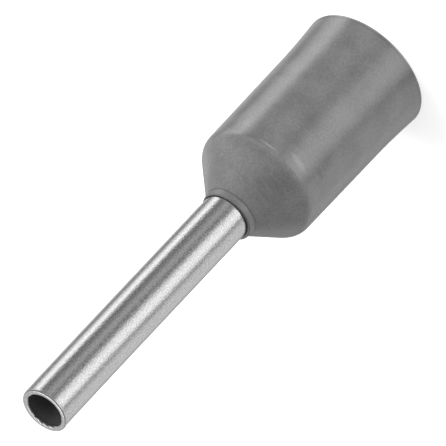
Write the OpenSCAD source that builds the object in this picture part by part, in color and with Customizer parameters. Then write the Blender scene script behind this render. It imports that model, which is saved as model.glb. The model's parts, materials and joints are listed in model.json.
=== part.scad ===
// Insulated wire ferrule: a tinned copper barrel with a funnel end, held in a moulded plastic collar.
// It stands on the collar's mouth. Z runs along the axis, up towards the barrel's open tip.

/* [Barrel] */
// Length of barrel that stands out of the collar
barrel_exposed = 7.9; // [6:0.01:12]
// Bore for the bare strands
barrel_bore_d = 1.13; // [1.0:0.01:1.3]
// Thickness of the copper
barrel_wall = 0.1; // [0.08:0.01:0.14]

/* [Funnel] */
// Outer diameter of the flared end, which rests in the shoulder
funnel_d = 2.3; // [2.0:0.05:2.5]
// Bend radius between barrel and funnel, on the outer face
bend_r = 0.15; // [0.1:0.01:0.25]

/* [Collar] */
// Length from the mouth to the top of the nose lip
collar_len = 6.1; // [5.3:0.01:8]
// Bore for the wire's insulation
collar_bore_d = 2.8; // [2.65:0.01:3.2]
// Wall of the collar where the flare begins
collar_wall = 0.31; // [0.25:0.01:0.4]
// How much the radius shrinks from there to the shoulder, so that the moulding leaves its tool
draft = 0.02; // [0.005:0.005:0.04]

/* [Shoulder and nose] */
// Half angle of the shoulder cone, and of the funnel inside it
shoulder_angle = 40; // [35:1:48]
// Radius that rounds the shoulder's outer corner
shoulder_round = 0.36; // [0.15:0.01:0.5]
// Length of the small lip that stands round the barrel at the nose
lip_len = 0.19; // [0.16:0.01:0.25]
// Wall of that lip at its foot
lip_wall = 0.07; // [0.055:0.005:0.09]
// Lean of its side, so that it leaves its tool
lip_lean = 6; // [3:1:8]
// Radius that rounds the lip's top edge
lip_round = 0.04; // [0.01:0.005:0.045]
// Length of the neck that guides the barrel, lip included
neck_len = 0.56; // [0.48:0.01:0.7]
// Radial clearance between neck and barrel
neck_gap = 0.02; // [0.01:0.005:0.04]

/* [Mouth] */
// Length over which the outside flares to the mouth
flare_len = 1.75; // [1.2:0.05:2.5]
// Growth of the outer radius over that length
flare_rise = 0.06; // [0.03:0.01:0.1]
// Length of the bell that leads the insulation in
bell_len = 0.8; // [0.5:0.05:1.1]
// Growth of the bore's radius over that length
bell_rise = 0.1; // [0.05:0.01:0.14]
// Bevel on both edges of the rim
rim_edge = 0.03; // [0.01:0.005:0.05]

/* [Hidden] */
tin = [0.78, 0.79, 0.81];
grey = [0.54, 0.54, 0.54];

// Facets of a round, and of the two long, shallow arcs at the mouth
$fn = 128;
arc_fn = 1440;
// Reach of the shapes that only cut, and of those that are cut to length
over = 1;
reach = 2 * (collar_len + collar_bore_d);

bore_r = barrel_bore_d / 2;
barrel_r = bore_r + barrel_wall;
neck_r = barrel_r + neck_gap;
lip_r = neck_r + lip_wall;
funnel_r = funnel_d / 2;
entry_r = collar_bore_d / 2;
bell_r = entry_r + bell_rise;
body_r = entry_r + collar_wall;
shoulder_r = body_r - draft;
total_len = collar_len + barrel_exposed;
slope = tan(shoulder_angle);
half_slope = tan(shoulder_angle / 2);

// Heights from the nose down: the seat cone, the funnel's cut edge (outer, then inner corner), the bore's end
seat_z = collar_len - neck_len;
funnel_z = seat_z - (funnel_r - barrel_r) / slope;
funnel_in_z = funnel_z - barrel_wall * sin(shoulder_angle);
lead_z = funnel_in_z - (entry_r - funnel_r) / slope;

// Height of the lip's foot, where the shoulder cone ends, and the straight length of the lip's side
cone_z = collar_len - lip_len;
lip_side = (lip_len - lip_round * (1 - sin(lip_lean))) / cos(lip_lean);

// Height of the sharp corner between drafted side and shoulder cone, then the side's lean and straight length
corner_z = cone_z - (shoulder_r - lip_r) / slope;
lean = atan2(draft, corner_z - flare_len);
side_len = (corner_z - flare_len) / cos(lean) - shoulder_round * tan((shoulder_angle - lean) / 2);
mouth_r = body_r + flare_rise * cos(lean) + flare_len * sin(lean);

// Radius of an arc that starts along the axis and drifts by rise over run
function bow(run, rise) = (run * run + rise * rise) / (2 * rise);

// Outline of radius r that turns through a bend onto the shoulder's angle, out to the radius edge_r;
// turn_z is the height of the turn's sharp corner
module flared_shape(r, turn_z, bend, edge_r) {
    bend_z = turn_z + bend * half_slope;
    translate([0, lead_z]) square([r, total_len + over - lead_z]);
    difference() {
        translate([0, lead_z]) square([edge_r, bend_z - lead_z]);
        translate([r + bend, bend_z]) {
            circle(bend);
            rotate(shoulder_angle) translate([-bend, -reach]) square(reach);
        }
    }
}

// What is cut away beyond the funnel's edge, square to its wall
module funnel_trim() {
    translate([funnel_r, funnel_z]) rotate(shoulder_angle)
        translate([-reach, -reach]) square([reach + over, reach]);
}

// Solid outline of the collar
module collar_shape() {
    flare_bow = bow(flare_len, flare_rise);
    // Lip at the nose, in the frame of its leaning side
    translate([lip_r, cone_z]) rotate(lip_lean) {
        translate([-neck_r / 2, -lip_len]) square([neck_r / 2, lip_len + lip_side]);
        translate([-lip_round, lip_side]) {
            circle(lip_round);
            rotate(-lip_lean) translate([-neck_r / 2, -lip_round]) square([neck_r / 2, 2 * lip_round]);
        }
    }
    intersection() {
        // Bevel of the rim
        polygon([
            [0, 0], [mouth_r - rim_edge, 0], [mouth_r + rim_edge, 2 * rim_edge], [mouth_r + rim_edge, collar_len],
            [0, collar_len]
        ]);
        // Frame of the drafted side, which runs up x = 0 from the flare to the shoulder
        translate([body_r, flare_len]) rotate(lean) {
            difference() {
                polygon([
                    [-reach, -reach], [flare_rise + over, -reach], [flare_rise + over, 0], [0, 0], [0, side_len],
                    [-reach, side_len]
                ]);
                translate([flare_bow, 0]) circle(flare_bow, $fn = arc_fn);
            }
            translate([-shoulder_round, side_len]) {
                circle(shoulder_round);
                rotate(shoulder_angle - lean) translate([-reach, 0]) square([reach + shoulder_round, reach]);
            }
        }
    }
}

// Bell at the mouth, bore and lead-in cone, then the pocket, seat and neck that the barrel lies in
module collar_cavity() {
    bell_bow = bow(bell_len, bell_rise);
    difference() {
        translate([0, -rim_edge]) square([entry_r + 2 * bell_rise, bell_len + rim_edge]);
        translate([entry_r + bell_bow, bell_len]) circle(bell_bow, $fn = arc_fn);
    }
    polygon([[0, -over], [bell_r + rim_edge + over, -over], [0, bell_r + rim_edge]]);
    polygon([[0, 0], [entry_r, 0], [entry_r, lead_z], [funnel_r, funnel_in_z], [0, funnel_in_z]]);
    flared_shape(neck_r, seat_z - neck_gap / slope, bend_r, funnel_r);
}

// Copper sleeve: tube, bend and funnel, with a rolled end at the tip
module barrel() {
    tip_z = total_len - barrel_wall / 2;
    color(tin) rotate_extrude() {
        difference() {
            flared_shape(barrel_r, seat_z, bend_r, entry_r);
            flared_shape(bore_r, seat_z - barrel_wall * half_slope, bend_r + barrel_wall, entry_r);
            funnel_trim();
            translate([0, tip_z]) square([barrel_r + over, 2 * over]);
        }
        translate([bore_r + barrel_wall / 2, tip_z]) circle(d = barrel_wall);
    }
}

// Moulded sleeve
module collar() {
    color(grey) rotate_extrude() difference() {
        collar_shape();
        collar_cavity();
    }
}

barrel();
collar();
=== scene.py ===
import json
from math import cos, pi, radians, sin, tan

import bpy
import numpy as np
from mathutils import Matrix, Vector


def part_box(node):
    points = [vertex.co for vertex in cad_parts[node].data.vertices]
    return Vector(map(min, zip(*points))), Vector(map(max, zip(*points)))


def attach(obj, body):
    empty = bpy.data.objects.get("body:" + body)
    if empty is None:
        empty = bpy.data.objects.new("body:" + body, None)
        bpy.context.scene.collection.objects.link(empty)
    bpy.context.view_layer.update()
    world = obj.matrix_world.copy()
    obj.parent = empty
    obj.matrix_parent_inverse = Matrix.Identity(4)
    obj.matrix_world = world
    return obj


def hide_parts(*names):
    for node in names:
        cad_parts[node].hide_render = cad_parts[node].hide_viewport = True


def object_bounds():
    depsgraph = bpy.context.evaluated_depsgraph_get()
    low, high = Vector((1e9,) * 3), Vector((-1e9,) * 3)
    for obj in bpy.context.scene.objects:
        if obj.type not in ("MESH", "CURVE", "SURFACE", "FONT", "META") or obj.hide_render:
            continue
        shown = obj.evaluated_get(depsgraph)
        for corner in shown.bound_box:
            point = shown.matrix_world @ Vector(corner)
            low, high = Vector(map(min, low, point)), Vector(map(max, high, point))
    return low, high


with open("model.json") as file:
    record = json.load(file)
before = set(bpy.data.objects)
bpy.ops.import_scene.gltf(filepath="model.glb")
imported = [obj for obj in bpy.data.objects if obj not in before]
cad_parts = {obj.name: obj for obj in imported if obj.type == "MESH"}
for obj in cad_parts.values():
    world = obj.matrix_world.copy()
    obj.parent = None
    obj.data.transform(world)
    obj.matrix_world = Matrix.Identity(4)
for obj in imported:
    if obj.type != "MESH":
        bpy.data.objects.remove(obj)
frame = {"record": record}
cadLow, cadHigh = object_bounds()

# A wire ferrule: a tinned copper barrel in a plastic collar. Both are shapes turned about Z, which runs
# from the collar's mouth up to the barrel's tip. The camera stands on the -Y side
mm = 0.001
mounts = {mount["name"]: mount for mount in frame["record"]["mounts"]}


def mountRadius(name):
    # Radius of a round mount, in metres
    return mounts[name]["dims"]["r_mm"] * mm


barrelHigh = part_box("barrel")[1]
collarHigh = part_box("collar")[1]
barrelRadius = mountRadius("barrel_outside")
boreRadius = mountRadius("strand_bore")
entryRadius = mountRadius("wire_entry")
wall = barrelRadius - boreRadius


def straight(a, b, step):
    # Evenly spaced points on the line from a to b, ends left out
    pieces = max(1, int(np.ceil(np.linalg.norm(b - a) / step)))
    return a + (b - a) * np.linspace(0, 1, pieces + 1)[1:-1, None]


def roundedOutline(corners, step):
    # Closed outline of radius and height, with straight sides in steps of one length, or of one for each
    # side. Each corner is turned by an arc of its own radius, which starts radius * tan(turn / 2) before
    # the corner and has its centre square off that point. A corner of radius 0 is a plain point
    points = []
    count = len(corners)
    steps = np.broadcast_to(step, count)
    arcStep, leastPieces = radians(7), 4
    for i, (r, z, radius) in enumerate(corners):
        here = np.array([r, z])
        before = here - np.array(corners[i - 1][:2])
        after = np.array(corners[(i + 1) % count][:2]) - here
        before /= np.linalg.norm(before)
        after /= np.linalg.norm(after)
        turn = np.arctan2(before[0] * after[1] - before[1] * after[0], before @ after)
        start = here - before * radius * tan(abs(turn) / 2)
        side = np.sign(turn) * np.array([-before[1], before[0]])
        pieces = max(leastPieces, int(abs(turn) / arcStep)) if radius else 0
        sweep = np.linspace(0, turn, pieces + 1)[:, None]
        centre = start + side * radius
        spoke = start - centre
        arc = centre + np.cos(sweep) * spoke + np.sin(sweep) * np.array([-spoke[1], spoke[0]])
        if points:
            points.append(straight(points[-1][-1], arc[0], steps[i - 1]))
        points.append(arc)
    points.append(straight(points[-1][-1], points[0][0], steps[-1]))
    return np.concatenate(points)


def revolve(name, outline, around, shape):
    # Point (i, j) is outline point i turned by angle j about Z; shape moves r and z by place and angle
    angle = np.linspace(0, 2 * pi, around, endpoint=False) - pi / 2
    r = np.repeat(outline[:, :1], around, axis=1)
    z = np.repeat(outline[:, 1:], around, axis=1)
    r, z = shape(r, z, np.broadcast_to(angle, r.shape))
    points = np.stack([r * np.cos(angle), r * np.sin(angle), z], axis=-1).reshape(-1, 3)
    rows = len(outline)
    i, j = np.meshgrid(np.arange(rows), np.arange(around), indexing="ij")
    thisRow, nextRow = i * around, (i + 1) % rows * around
    jNext = (j + 1) % around
    faces = np.stack([thisRow + j, thisRow + jNext, nextRow + jNext, nextRow + j], axis=-1)
    mesh = bpy.data.meshes.new(name)
    mesh.vertices.add(len(points))
    mesh.vertices.foreach_set("co", points.ravel())
    mesh.loops.add(faces.size)
    mesh.loops.foreach_set("vertex_index", faces.ravel())
    mesh.polygons.add(rows * around)
    mesh.polygons.foreach_set("loop_start", np.arange(rows * around) * 4)
    mesh.polygons.foreach_set("use_smooth", np.ones(rows * around, bool))
    # The wrap map has no overlaps: u goes once round the piece, v goes once along the closed outline
    u = np.stack([j, j + 1, j + 1, j], axis=-1) / around
    lengths = np.linalg.norm(np.diff(outline, axis=0, append=outline[:1]), axis=1)
    along = np.concatenate([[0], np.cumsum(lengths)])
    v = np.stack([along[i], along[i], along[i + 1], along[i + 1]], axis=-1) / along[-1]
    wrap = mesh.uv_layers.new(name="wrap")
    wrap.data.foreach_set("uv", np.stack([u, v], axis=-1).ravel())
    mesh.update(calc_edges=True)
    mesh.validate()
    piece = bpy.data.objects.new(name, mesh)
    bpy.context.collection.objects.link(piece)
    return piece


def bump(x, centre, width):
    # Bell curve of height 1: e to the minus square of the distance over the width
    return np.exp(-((x - centre) / width) ** 2)


barrel = {
    "funnelRadius": barrelHigh[0],
    "seatDrop": 0.56 * mm,  # from the nose down to the start of the funnel
    "shoulderAngle": radians(40),
    "bendRadius": 0.15 * mm,
    "sharpEdge": 0.012 * mm,
    "tipRound": 0.48,  # part of the wall
    "step": 0.05 * mm,
    "longStep": 0.12 * mm,  # along the straight tube
    "fineStep": 0.01 * mm,  # and over its last stretch
    "fineLength": 0.3 * mm,
    "around": 288,
    # Lip round the tip and the groove behind it, strongest at one azimuth
    "lipHeight": 0.075 * mm,
    "lipGrowth": 0.010 * mm,
    "lipEven": 0.3,  # the share of the growth that is the same all round
    "lipEdge": 0.006 * mm,
    "grooveDepth": 0.007 * mm,
    "groovePlace": 0.10125 * mm,  # from the tip
    "grooveWidth": 0.018 * mm,
    "grooveAzimuth": radians(-135),
    # It leans over in the collar's neck, along +X, and bends back towards the tip, most in the cut end
    "shift": 0.02 * mm,
    "leanRise": 0.3 * mm,
    "bend": 0.018 * mm,
    "bendReach": 2.0 * mm,
    "cutBend": 0.013 * mm,
    "cutReach": 0.15 * mm,
    # The cut end rolls inwards, most at one azimuth
    "rollIn": 0.060 * mm,
    "rollSway": 0.025 * mm,
    "rollAzimuth": radians(50),
    "rollReach": 0.11 * mm,
    # Dents (+) and burrs (-) on the tip's inner edge: azimuth and half width in degrees, size in mm
    "burrs": [
        (4, 9, 0.020), (-22, 8, 0.012), (72, 4, -0.020), (84, 3, 0.024), (95, 4, -0.026), (106, 3, 0.026),
        (116, 4, -0.028), (126, 3, 0.024), (137, 4, -0.026), (147, 3, 0.016), (158, 8, -0.030),
        (-150, 12, -0.012),
    ],
    "burrReach": 0.09 * mm,
    "ragged": 0.003 * mm,
    "raggedWaves": (29, 11),  # round the edge
}


def leanAt(z):
    # The part of the lean that is reached at height z, which grows evenly from none in the seat to all of
    # it a little way up the neck
    return np.clip((z - collarHigh[2] + barrel["seatDrop"]) / barrel["leanRise"], 0, 1)


def barrelShape(r, z, angle):
    # Outside, the lip is a soft step of the distance from the tip: its growth over one plus e to the power
    # of the way past it. The groove behind it, and the roll and burrs inside, are bell curves
    b = barrel
    outside = r > (barrelRadius + boreRadius) / 2
    fromTip = barrelHigh[2] - z
    side = ((1 + np.cos(angle - b["grooveAzimuth"])) / 2) ** 3
    growth = b["lipGrowth"] * (b["lipEven"] + (1 - b["lipEven"]) * side)
    lip = growth / (1 + np.exp((fromTip - b["lipHeight"]) / b["lipEdge"]))
    groove = b["grooveDepth"] * side * bump(fromTip, b["groovePlace"], b["grooveWidth"])
    fast, slow = b["raggedWaves"]
    ragged = b["ragged"] * np.sin(angle * fast) * np.sin(angle * slow + 1)
    for azimuth, width, size in b["burrs"]:
        turn = (np.degrees(angle) - azimuth + 180) % 360 - 180
        ragged = ragged + size * mm * bump(turn, 0, width)
    roll = b["rollIn"] + b["rollSway"] * np.cos(angle - b["rollAzimuth"])
    inwards = roll * bump(fromTip, 0, b["rollReach"]) - ragged * bump(fromTip, 0, b["burrReach"])
    return r + np.where(outside, lip - groove, -inwards), z


def makeBarrel():
    b = barrel
    slope, half = tan(b["shoulderAngle"]), tan(b["shoulderAngle"] / 2)
    turnZ = collarHigh[2] - b["seatDrop"]
    tipZ = barrelHigh[2]
    fineZ = tipZ - b["fineLength"]
    funnelZ = turnZ - (b["funnelRadius"] - barrelRadius) / slope
    funnelInside = b["funnelRadius"] - wall * cos(b["shoulderAngle"])
    step, longStep, fineStep = b["step"], b["longStep"], b["fineStep"]
    outline = roundedOutline([
        [b["funnelRadius"], funnelZ, b["sharpEdge"]],
        [barrelRadius, turnZ, b["bendRadius"]],
        [barrelRadius, fineZ, 0],
        [barrelRadius, tipZ, wall * b["tipRound"]],
        [boreRadius, tipZ, wall * b["tipRound"]],
        [boreRadius, fineZ, 0],
        [boreRadius, turnZ - wall * half, b["bendRadius"] + wall],
        [funnelInside, funnelZ - wall * sin(b["shoulderAngle"]), b["sharpEdge"]],
    ], [step, longStep, fineStep, step, fineStep, longStep, step, step])
    tube = revolve("barrelTube", outline[::-1], b["around"], barrelShape)
    # Each point moves along X by the lean less two bends, which fade by powers of e down from the tip
    points = np.empty(len(tube.data.vertices) * 3)
    tube.data.vertices.foreach_get("co", points)
    z = points[2::3]
    points[::3] += b["shift"] * leanAt(z)
    points[::3] -= b["bend"] * np.exp((z - tipZ) / b["bendReach"])
    points[::3] -= b["cutBend"] * np.exp((z - tipZ) / b["cutReach"])
    tube.data.vertices.foreach_set("co", points)
    tube.data.update()
    return tube


collar = {
    "bodyRadius": 1.71 * mm,
    "draft": 0.02 * mm,
    "shoulderRound": 0.36 * mm,
    # Small lip round the barrel at the nose
    "lipWall": 0.078 * mm,
    "lipHeight": 0.19 * mm,
    "lipLean": radians(6),
    "lipRound": 0.04 * mm,
    "footRound": 0.02 * mm,
    # Neck, which keeps its gap all round the leaning barrel, and the hidden shapes below it
    "neckGap": 0.012 * mm,
    "neckRound": 0.008 * mm,
    "neckReach": 0.02 * mm,
    "pocketRound": 0.004 * mm,
    "leadRound": 0.05 * mm,
    # Flare and bell at the mouth
    "flareLength": 1.75 * mm,
    "flareRound": 5 * mm,
    "flareSlack": 0.0005 * mm,  # kept free at the widest place
    "bellLength": 0.8 * mm,
    "bellRise": 0.1 * mm,
    "rimEdge": 0.03 * mm,
    "step": 0.08 * mm,
    "around": 320,
}


def collarShape(r, z, angle):
    # Outside, the wall drifts out by the square of the way into the flare, and inside by the square of the
    # way into the bell. Near the neck's radius it moves with the barrel's lean
    c = collar
    outside = r > (c["bodyRadius"] + entryRadius) / 2
    intoFlare = np.clip((c["flareLength"] - z) / c["flareLength"], 0, 1)
    intoBell = np.clip((c["bellLength"] - z) / c["bellLength"], 0, 1)
    growth = collarHigh[0] - c["bodyRadius"] - c["flareSlack"]
    r = r + np.where(outside, growth * intoFlare ** 2, c["bellRise"] * intoBell ** 2)
    neck = bump(r, barrelRadius + c["neckGap"], c["neckReach"]) * leanAt(z)
    return r + neck * barrel["shift"] * np.cos(angle), z


def makeCollar():
    c, b = collar, barrel
    slope = tan(b["shoulderAngle"])
    noseZ = collarHigh[2]
    neckRadius = barrelRadius + c["neckGap"]
    lipRadius = neckRadius + c["lipWall"]
    shoulderRadius = c["bodyRadius"] - c["draft"]
    coneZ = noseZ - c["lipHeight"]
    shoulderZ = coneZ - (shoulderRadius - lipRadius) / slope
    turnZ = noseZ - b["seatDrop"] - c["neckGap"] / slope
    funnelZ = noseZ - b["seatDrop"] - (b["funnelRadius"] - barrelRadius) / slope
    pocketZ = funnelZ - wall * sin(b["shoulderAngle"])
    leadZ = pocketZ - (entryRadius - b["funnelRadius"]) / slope
    outline = roundedOutline([
        [c["bodyRadius"], 0, c["rimEdge"]],
        [c["bodyRadius"], c["flareLength"], c["flareRound"]],
        [shoulderRadius, shoulderZ, c["shoulderRound"]],
        [lipRadius, coneZ, c["footRound"]],
        [lipRadius - c["lipHeight"] * tan(c["lipLean"]), noseZ, c["lipRound"]],
        [neckRadius, noseZ, c["neckRound"]],
        [neckRadius, turnZ, b["bendRadius"]],
        [b["funnelRadius"], funnelZ, c["pocketRound"]],
        [b["funnelRadius"], pocketZ, c["pocketRound"]],
        [entryRadius, leadZ, c["leadRound"]],
        [entryRadius, 0, c["rimEdge"]],
    ], c["step"])
    return revolve("collarShell", outline[::-1], c["around"], collarShape)


barrelTube = makeBarrel()
collarShell = makeCollar()
for piece, node in ((barrelTube, "barrel"), (collarShell, "collar")):
    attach(piece, "root")
    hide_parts(node)
print("pieces made:", len(barrelTube.data.polygons), "and", len(collarShell.data.polygons), "faces")

# Limits that noise mostly keeps to
noiseRange = (0.3, 0.7)


def newMaterial(name, **sockets):
    material = bpy.data.materials.new(name)
    material.use_nodes = True
    shader = material.node_tree.nodes["Principled BSDF"]
    for key, value in sockets.items():
        shader.inputs[key].default_value = value
    return material, material.node_tree, shader


def newGroup(name, inputs, outputs):
    # Shader group with float inputs and outputs
    tree = bpy.data.node_groups.new(name, "ShaderNodeTree")
    for socket in inputs:
        tree.interface.new_socket(socket, in_out="INPUT", socket_type="NodeSocketFloat")
    for socket in outputs:
        tree.interface.new_socket(socket, in_out="OUTPUT", socket_type="NodeSocketFloat")
    return tree, tree.nodes.new("NodeGroupInput").outputs, tree.nodes.new("NodeGroupOutput").inputs


def addGroup(tree, group, values):
    node = tree.nodes.new("ShaderNodeGroup")
    node.node_tree = group
    for key, value in values.items():
        node.inputs[key].default_value = value
    return node.outputs


def mathNode(tree, operation, a, b=None):
    # One sum; each input is a socket or a plain number
    node = tree.nodes.new("ShaderNodeMath")
    node.operation = operation
    for socket, value in zip(node.inputs, (a, b)):
        if isinstance(value, (int, float)):
            socket.default_value = value
        elif value is not None:
            tree.links.new(value, socket)
    return node.outputs[0]


def product(tree, a, b):
    return mathNode(tree, "MULTIPLY", a, b)


def total(tree, a, b):
    return mathNode(tree, "ADD", a, b)


def remap(tree, value, fromLow, fromHigh, toLow=0, toHigh=1):
    # Smooth step from one range to another
    node = tree.nodes.new("ShaderNodeMapRange")
    node.interpolation_type = "SMOOTHSTEP"
    tree.links.new(value, node.inputs["Value"])
    node.inputs["From Min"].default_value = fromLow
    node.inputs["From Max"].default_value = fromHigh
    node.inputs["To Min"].default_value = toLow
    node.inputs["To Max"].default_value = toHigh
    return node.outputs[0]


def mixColours(tree, a, b, factor):
    # Colour between a and b; each is a socket or three plain numbers
    mix = tree.nodes.new("ShaderNodeMix")
    mix.data_type = "RGBA"
    for key, value in (("A", a), ("B", b)):
        if isinstance(value, tuple):
            mix.inputs[key].default_value = (*value, 1)
        else:
            tree.links.new(value, mix.inputs[key])
    tree.links.new(factor, mix.inputs["Factor"])
    return mix.outputs["Result"]


def addNoise(tree, place, scale, detail):
    noise = tree.nodes.new("ShaderNodeTexNoise")
    noise.inputs["Detail"].default_value = detail
    tree.links.new(place, noise.inputs["Vector"])
    tree.links.new(scale, noise.inputs["Scale"])
    return noise.outputs[0]


def placeInMm(tree):
    coordinates = tree.nodes.new("ShaderNodeTexCoord")
    scale = tree.nodes.new("ShaderNodeVectorMath")
    scale.operation = "SCALE"
    scale.inputs["Scale"].default_value = 1 / mm
    tree.links.new(coordinates.outputs["Object"], scale.inputs[0])
    return scale.outputs[0]


def splitPlace(tree, place):
    split = tree.nodes.new("ShaderNodeSeparateXYZ")
    tree.links.new(place, split.inputs[0])
    return split.outputs


def makeUnevenGroup():
    # Fine grain, soft patches and thin streaks that run round the axis, each about 0.5 on average;
    # the inputs are waves per millimetre
    names = ["Grain", "Patches", "Streaks"]
    details = [2, 3, 2]
    squeezes = [(1, 1, 1), (1, 1, 1), (0.12, 0.12, 1)]
    tree, given, result = newGroup("unevenness", names, names)
    place = placeInMm(tree)
    for name, detail, squeeze in zip(names, details, squeezes):
        stretch = tree.nodes.new("ShaderNodeVectorMath")
        stretch.operation = "MULTIPLY"
        stretch.inputs[1].default_value = squeeze
        tree.links.new(place, stretch.inputs[0])
        tree.links.new(addNoise(tree, stretch.outputs[0], given[name], detail), result[name])
    return tree


def makeMarkGroup():
    # Ragged spot: 1 in the middle, 0 past its edge. Azimuth and Turn are in radians, sizes in millimetres.
    # Across is the distance round the axis from the spot's azimuth, up the height above its own, and Turn
    # turns both. The mask falls with the root of the sum of their squares, each over its half size
    names = ["Azimuth", "Height", "Half Width", "Half Tall", "Turn", "Ragged", "Grain"]
    tree, given, result = newGroup("mark", names, ["Mask"])
    place = placeInMm(tree)
    x, y, z = splitPlace(tree, place)
    cosine = mathNode(tree, "COSINE", given["Azimuth"])
    sine = mathNode(tree, "SINE", given["Azimuth"])
    across = mathNode(tree, "SUBTRACT", product(tree, y, cosine), product(tree, x, sine))
    facing = total(tree, product(tree, x, cosine), product(tree, y, sine))
    up = mathNode(tree, "SUBTRACT", z, given["Height"])
    turnCos = mathNode(tree, "COSINE", given["Turn"])
    turnSin = mathNode(tree, "SINE", given["Turn"])
    along = total(tree, product(tree, across, turnCos), product(tree, up, turnSin))
    over = mathNode(tree, "SUBTRACT", product(tree, up, turnCos), product(tree, across, turnSin))
    wide = mathNode(tree, "POWER", mathNode(tree, "DIVIDE", along, given["Half Width"]), 2)
    tall = mathNode(tree, "POWER", mathNode(tree, "DIVIDE", over, given["Half Tall"]), 2)
    reach = mathNode(tree, "SQRT", total(tree, wide, tall))
    noise = mathNode(tree, "SUBTRACT", addNoise(tree, place, given["Grain"], detail=3), 0.5)
    edge, core = 1, 0.35  # the mask begins and is full there, in half sizes
    mask = remap(tree, total(tree, reach, product(tree, noise, given["Ragged"])), edge, core)
    front = mathNode(tree, "GREATER_THAN", facing, 0)
    tree.links.new(product(tree, mask, front), result["Mask"])
    return tree


def addBump(tree, shader, height, depth):
    bumpNode = tree.nodes.new("ShaderNodeBump")
    bumpNode.inputs["Distance"].default_value = depth
    tree.links.new(height, bumpNode.inputs["Height"])
    tree.links.new(bumpNode.outputs["Normal"], shader.inputs["Normal"])


tin = {
    "low": (0.505, 0.505, 0.51),
    "high": (0.695, 0.695, 0.705),
    "roughness": (0.05, 0.18),
    "bumpDepth": 0.0046 * mm,
    "streakShare": 0.5,
    "sizes": {"Grain": 28, "Streaks": 24},
    # The bore is dull; deeper inside its colour is painted lighter, painted light where the bore lies in
    # shade
    "inside": (0.10, 0.10, 0.105),
    "paintedLightDeepInside": (0.5, 0.5, 0.51),
    "paintedLightFade": (0.2, 1.6),  # mm below the tip
    "mouthFade": (0.04, 0.07),  # mm below the tip
    "boreFade": (0.03, 0.018),  # mm outside the bore's radius
    "dullness": 0.4,  # added to the roughness
}


def paintTin(uneven):
    material, tree, shader = newMaterial("tinnedCopper")
    surface = addGroup(tree, uneven, tin["sizes"])
    metal = mixColours(tree, tin["low"], tin["high"], remap(tree, surface["Grain"], *noiseRange))
    # Inside is within the bore's radius, about the axis at the tip, and past the rounded rim
    x, y, z = splitPlace(tree, placeInMm(tree))
    x = mathNode(tree, "SUBTRACT", x, (barrel["shift"] - barrel["bend"]) / mm)
    radius = mathNode(tree, "SQRT", total(tree, product(tree, x, x), product(tree, y, y)))
    depth = mathNode(tree, "SUBTRACT", barrelHigh[2] / mm, z)
    nearBore = remap(tree, radius, *[boreRadius / mm + fade for fade in tin["boreFade"]])
    inside = product(tree, nearBore, remap(tree, depth, *tin["mouthFade"]))
    # Dull colour in the bore, with painted light that grows with the depth
    dullAndPaintedLight = mixColours(tree, tin["inside"], tin["paintedLightDeepInside"], remap(tree, depth, *tin["paintedLightFade"]))
    tree.links.new(mixColours(tree, metal, dullAndPaintedLight, inside), shader.inputs["Base Color"])
    tree.links.new(mathNode(tree, "SUBTRACT", 1, inside), shader.inputs["Metallic"])
    rough = remap(tree, surface["Grain"], *noiseRange, *tin["roughness"])
    rough = total(tree, rough, product(tree, inside, tin["dullness"]))
    tree.links.new(rough, shader.inputs["Roughness"])
    height = total(tree, surface["Grain"], product(tree, surface["Streaks"], tin["streakShare"]))
    addBump(tree, shader, height, tin["bumpDepth"])
    barrelTube.data.materials.append(material)


plastic = {
    "low": (0.147, 0.147, 0.147),
    "high": (0.220, 0.220, 0.220),
    # Painted highlight colour, which also serves for real scuffs and specks
    "highlightAndScuffColour": (0.34, 0.34, 0.34),
    # Painted shade colour, which also serves for real dark patches
    "shadeAndMarkColour": (0.10, 0.10, 0.10),
    "roughness": (0.19, 0.25),
    "gloss": {"IOR": 1.8, "Specular IOR Level": 0.7},
    "bumpDepth": 0.0008 * mm,
    "sizes": {"Grain": 20, "Patches": 1.6, "Streaks": 14},
    "markEdge": {"Ragged": 1.0, "Grain": 14},
    "markStreaks": (0.4, 0.58, 0.15, 1),  # range of the streaks, and how much of a mark it leaves
    "lineCore": 0.3,  # the part of a line's half width that has its full strength
    "lipFade": (5.88, 5.93),  # mm up the collar
    "lipDullness": 0.22,  # added to the roughness
}

# Marks on the collar: azimuth from the -Y side (degrees, + towards +X), height, half width, half tall
# (mm), turn (degrees), strength. Light marks are partly real scuffs and specks and partly painted
# highlights on the shoulder's corner; dark marks are partly real dark patches and partly painted shade in
# the crease at the cone's foot, on the lip and over part of the cone
# Real scuffs and specks, and painted highlights on the shoulder's corner
paintedHighlightsAndScuffs = [
    (14, 4.68, 0.44, 0.05, 0, 0.8), (-14, 4.46, 0.42, 0.17, -9, 0.6), (-19, 4.83, 0.10, 0.06, 0, 0.6),
    (14, 3.68, 0.32, 0.15, 10, 0.25), (61, 4.64, 0.025, 0.04, 0, 0.9), (61, 5.22, 0.03, 0.03, 0, 0.8),
    (35, 0.95, 0.025, 0.025, 0, 0.8), (0, 3.64, 0.02, 0.03, 0, 0.6), (-41, 1.48, 0.025, 0.03, 0, 0.8),
    (47, 4.3, 0.2, 0.25, 0, 0.25), (-30, 0.06, 0.5, 0.05, 0, 0.3), (28, 0.05, 0.6, 0.05, 0, 0.3),
]
# Real dark patches, and painted shade in the crease at the cone's foot, on the lip's side and over part of
# the cone
paintedShadeAndMarks = [
    (-36, 4.07, 0.24, 0.16, 20, 0.5), (-6, 4.1, 0.4, 0.12, 10, 0.2), (-57, 5.98, 0.07, 0.07, 0, 0.9),
    (10, 5.92, 0.45, 0.035, 0, 1.0), (-2, 6.03, 0.5, 0.03, 6, 0.6), (-17, 5.35, 0.6, 0.55, 0, 0.35),
]

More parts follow.
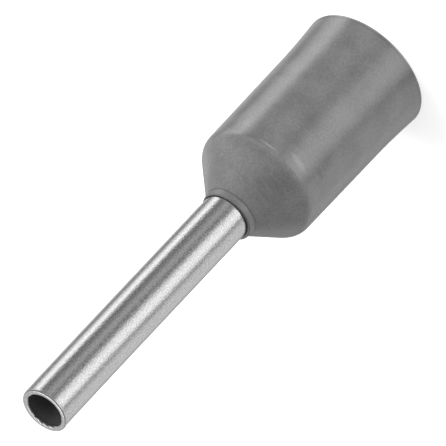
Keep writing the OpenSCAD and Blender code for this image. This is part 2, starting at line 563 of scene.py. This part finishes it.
# Lines round the collar: height, half width (mm), strength. The dark lines are painted shade in the crease
# at the cone's foot, on the lip, at the neck round the barrel and by the mouth; the light line is a painted
# highlight along the mouth's edge
paintedShadeLines = [(5.908, 0.028, 1.0), (6.0, 0.11, 0.3), (6.085, 0.03, 0.7), (0.085, 0.03, 0.5)]
paintedHighlightLines = [(0.02, 0.03, 0.5)]


def addMarks(tree, group, marks):
    # Strongest of all the marks' masks
    strongest = 0
    for azimuth, height, width, tall, turn, strength in marks:
        values = {"Azimuth": radians(azimuth - 90), "Turn": radians(turn), "Height": height}
        values.update({"Half Width": width, "Half Tall": tall}, **plastic["markEdge"])
        mask = product(tree, addGroup(tree, group, values)["Mask"], strength)
        strongest = mathNode(tree, "MAXIMUM", mask, strongest)
    return strongest


def addLines(tree, strongest, height, lines):
    # Strongest of the marks so far and the lines at their heights
    for centre, half, strength in lines:
        distance = mathNode(tree, "ABSOLUTE", mathNode(tree, "SUBTRACT", height, centre))
        line = remap(tree, distance, half, half * plastic["lineCore"], 0, strength)
        strongest = mathNode(tree, "MAXIMUM", strongest, line)
    return strongest


def paintCollar(uneven, mark):
    material, tree, shader = newMaterial("greyPlastic", **plastic["gloss"])
    surface = addGroup(tree, uneven, plastic["sizes"])
    height = splitPlace(tree, placeInMm(tree))["Z"]
    cloud = product(tree, total(tree, surface["Patches"], surface["Grain"]), 0.5)
    colour = mixColours(tree, plastic["low"], plastic["high"], remap(tree, cloud, *noiseRange))
    streaked = remap(tree, surface["Streaks"], *plastic["markStreaks"])
    # Light layer: painted highlights and real scuffs; dark layer: painted shade and real dark patches
    layers = (("highlightAndScuffColour", paintedHighlightsAndScuffs, paintedHighlightLines), ("shadeAndMarkColour", paintedShadeAndMarks, paintedShadeLines))
    for key, marks, lines in layers:
        spots = product(tree, addMarks(tree, mark, marks), streaked)
        colour = mixColours(tree, colour, plastic[key], addLines(tree, spots, height, lines))
    tree.links.new(colour, shader.inputs["Base Color"])
    rough = remap(tree, surface["Patches"], *noiseRange, *plastic["roughness"])
    lip = remap(tree, height, *plastic["lipFade"], 0, plastic["lipDullness"])
    tree.links.new(total(tree, rough, lip), shader.inputs["Roughness"])
    addBump(tree, shader, surface["Grain"], plastic["bumpDepth"])
    collarShell.data.materials.append(material)


unevenGroup = makeUnevenGroup()
paintTin(unevenGroup)
paintCollar(unevenGroup, makeMarkGroup())
print("materials made")

cameraSet = {
    "elevation": radians(32.4),
    "roll": radians(226.70),  # direction of the object's axis in the picture, from its right side
    "distance": 505 * mm,
    "width": 11.2626 * mm,  # what the picture covers at the object
    "offset": (0.446 * mm, 0.4075 * mm),  # picture centre from the object's middle, right and up
    "sensor": 36,
    "clip": (0.05, 5),
}
middle = Vector((0, 0, (cadLow[2] + cadHigh[2]) / 2))


def makeCamera():
    # It stands on the -Y side, raised by its elevation, and is rolled until Z points along the roll's
    # direction
    c = cameraSet
    elevation = c["elevation"]
    back = Vector((0, -cos(elevation), sin(elevation)))
    level = Vector((1, 0, 0))
    upright = back.cross(level)
    turn = pi / 2 - c["roll"]
    right = level * cos(turn) + upright * sin(turn)
    up = upright * cos(turn) - level * sin(turn)
    data = bpy.data.cameras.new("camera")
    camera = bpy.data.objects.new("camera", data)
    bpy.context.collection.objects.link(camera)
    data.sensor_width = c["sensor"]
    data.lens = c["sensor"] * c["distance"] / c["width"]
    data.clip_start, data.clip_end = c["clip"]
    place = Matrix((right, up, back)).transposed().to_4x4()
    place.translation = middle + right * c["offset"][0] + up * c["offset"][1] + back * c["distance"]
    camera.matrix_world = place
    bpy.context.scene.camera = camera


makeCamera()
print("camera made")

stage = {
    "floorReach": 0.6,
    "floorColour": (0.8, 0.8, 0.8, 1),
    "floorGlow": (0.64, 0.64, 0.64, 1),
    "horizon": -0.1,  # sine of the height below which the reflectors begin
    "worldLow": 0.59,
    "worldTop": 0.05,
    "lampDistance": 0.2,
}

# What the object mirrors low down all round it: azimuth in degrees (0 along +X, -90 towards the camera)
# and brightness. The azimuths were chosen one by one. The brightnesses, the powers of the first four lamps
# and worldLow came from a least-squares fit by a separate program, and some were then changed by hand
reflectorLevels = [
    (-179, 0.84), (-164, 0.74), (-150, 0.37), (-137, 1.15), (-125, 1.42), (-113, 1.32), (-101, 1.15),
    (-90, 0.50), (-78, 0.26), (-67, 0.45), (-55, 0.53), (-43, 0.37), (-30, 0.24), (-16, 0.3),
    (-1, 1.75), (16, 1.2), (38, 0.2), (65, 0.75), (90, 0.3), (115, 0.45), (142, 0.80), (164, 0.80),
]

# Lamps: azimuth and elevation in degrees, diameter, radiated power, whether it lights matt surfaces, and
# whether it shows in reflections
lamps = {
    "leftLamp": (10, 50, 0.2, 0.31, True, False),
    "rightLamp": (180, 12, 0.2, 0.045, True, False),
    "frontLamp": (-90, 5, 0.2, 0.14, True, False),
    "frontLeftLamp": (-45, 15, 0.2, 0.13, True, False),
    "backLamp": (90, 40, 0.2, 0.035, True, True),
    "topLamp": (88, 66, 0.16, 0.125, False, True),
}


def makeFloor():
    size = stage["floorReach"]
    mesh = bpy.data.meshes.new("floor")
    corners = [(-size, -size, 0), (size, -size, 0), (size, size, 0), (-size, size, 0)]
    mesh.from_pydata(corners, [], [(0, 1, 2, 3)])
    floor = bpy.data.objects.new("floor", mesh)
    bpy.context.collection.objects.link(floor)
    material, tree, shader = newMaterial("floorPaper", **{"Roughness": 1.0, "Specular IOR Level": 0.0})
    shader.inputs["Base Color"].default_value = stage["floorColour"]
    # The camera sees some glow of its own, so that the open floor is white and the shadow stays
    shader.inputs["Emission Color"].default_value = stage["floorGlow"]
    path = tree.nodes.new("ShaderNodeLightPath")
    tree.links.new(path.outputs["Is Camera Ray"], shader.inputs["Emission Strength"])
    mesh.materials.append(material)
    floor.visible_glossy = False


def addReflectors(tree, x, y):
    # Brightness that runs from level to level by azimuth, the arctangent of y over x
    share = tree.nodes.new("ShaderNodeMapRange")
    share.inputs["From Min"].default_value = -pi
    share.inputs["From Max"].default_value = pi
    tree.links.new(mathNode(tree, "ARCTAN2", y, x), share.inputs["Value"])
    levels = tree.nodes.new("ShaderNodeValToRGB")
    tree.links.new(share.outputs[0], levels.inputs[0])
    brightest = max(level for _, level in reflectorLevels)
    stops = reflectorLevels + [(180, reflectorLevels[0][1])]
    ramp = levels.color_ramp.elements
    while len(ramp) < len(stops):
        ramp.new(0.5)
    for stop, (azimuth, level) in zip(ramp, stops):
        stop.position = (azimuth + 180) / 360
        stop.color = (*[level / brightest] * 3, 1)
    return product(tree, levels.outputs["Color"], brightest)


def makeWorld():
    # The sky's brightness runs evenly with the height of the direction, from level to straight up. Below
    # the horizon mirrored rays see the reflectors, because the floor is hidden from them
    world = bpy.data.worlds.new("studio")
    bpy.context.scene.world = world
    world.use_nodes = True
    tree = world.node_tree
    background = tree.nodes["Background"]
    background.inputs["Color"].default_value = (1, 1, 1, 1)
    direction = tree.nodes.new("ShaderNodeTexCoord")
    x, y, z = splitPlace(tree, direction.outputs["Generated"])
    sky = tree.nodes.new("ShaderNodeMapRange")
    sky.inputs["To Min"].default_value = stage["worldLow"]
    sky.inputs["To Max"].default_value = stage["worldTop"]
    tree.links.new(z, sky.inputs["Value"])
    path = tree.nodes.new("ShaderNodeLightPath")
    below = mathNode(tree, "LESS_THAN", z, stage["horizon"])
    around = tree.nodes.new("ShaderNodeMix")
    tree.links.new(product(tree, below, path.outputs["Is Glossy Ray"]), around.inputs["Factor"])
    tree.links.new(sky.outputs[0], around.inputs["A"])
    tree.links.new(addReflectors(tree, x, y), around.inputs["B"])
    # Where the camera looks past the floor it sees the floor's white
    seen = tree.nodes.new("ShaderNodeMix")
    tree.links.new(path.outputs["Is Camera Ray"], seen.inputs["Factor"])
    tree.links.new(around.outputs[0], seen.inputs["A"])
    seen.inputs["B"].default_value = 1
    tree.links.new(seen.outputs[0], background.inputs["Strength"])


def makeLamp(name, azimuth, elevation, size, power, lighting, mirrored):
    # Disc lamp, turned towards the object's middle
    azimuth, elevation = radians(azimuth), radians(elevation)
    away = Vector((cos(azimuth) * cos(elevation), sin(azimuth) * cos(elevation), sin(elevation)))
    data = bpy.data.lights.new(name, "AREA")
    data.shape = "DISK"
    data.size = size
    data.energy = power
    lamp = bpy.data.objects.new(name, data)
    bpy.context.collection.objects.link(lamp)
    lamp.location = middle + away * stage["lampDistance"]
    lamp.rotation_euler = away.to_track_quat("Z", "Y").to_euler()
    lamp.visible_diffuse = lighting
    lamp.visible_glossy = mirrored


makeFloor()
makeWorld()
for name, values in lamps.items():
    makeLamp(name, *values)
bpy.context.scene.view_settings.view_transform = "Standard"
print("stage made")
